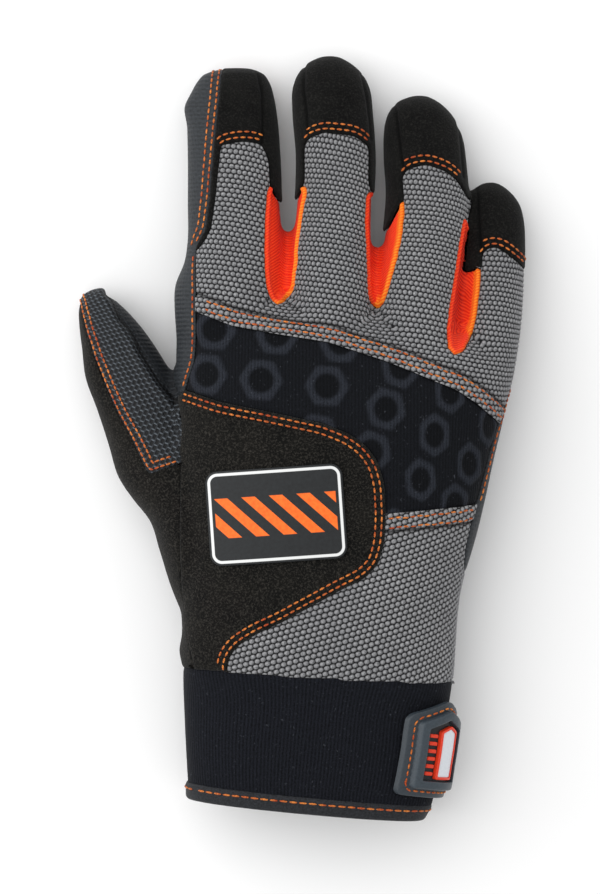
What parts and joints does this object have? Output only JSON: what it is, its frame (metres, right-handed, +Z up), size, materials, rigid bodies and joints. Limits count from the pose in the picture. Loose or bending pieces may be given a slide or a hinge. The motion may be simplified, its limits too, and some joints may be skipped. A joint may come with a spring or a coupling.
{
  "type": "anti vibration glove",
  "caption": "Right-hand work glove lying palm down: grey bubble knit, black suede and embossed knuckle panels, orange gussets, and a wide cuff closed by a moulded tab.",
  "frame": {"origin": "on the flat of the palm that the glove rests on, at the middle of the hand part's width near the palm's centre", "axes": "+Z up through the back of the hand, +Y towards the fingertips, +X towards the little finger"},
  "size_m": [0.1499, 0.2554, 0.0471],
  "materials": {
    "suede": "napped synthetic suede",
    "grip": "embossed synthetic leather",
    "knit": "bubble knit",
    "neoprene": "ribbed cloth over neoprene foam",
    "gusset": "ribbed stretch cloth",
    "binding": "woven binding",
    "tab_rubber": "satin moulded rubber",
    "tab_orange": "satin moulded rubber",
    "tab_pale": "smooth pale moulding",
    "badge": "satin heat-set patch"
  },
  "bodies": {
    "root": {"palm_panel": "grip", "thumb_front": "grip", "saddle_panel": "suede", "thumb_back": "suede", "index_cap": "suede", "middle_cap": "suede", "ring_cap": "suede", "little_cap": "suede", "knuckle_panel": "neoprene", "upper_knit": "knit", "lower_knit": "knit", "index_middle_gusset": "gusset", "middle_ring_gusset": "gusset", "ring_little_gusset": "gusset", "cuff_body": "neoprene", "cuff_hem": "binding", "wrist_strap": "neoprene", "tab_base": "tab_rubber", "tab_rim": "tab_rubber", "tab_window_edge": "tab_orange", "tab_window": "tab_pale", "badge": "badge"}
  },
  "joints": []
}
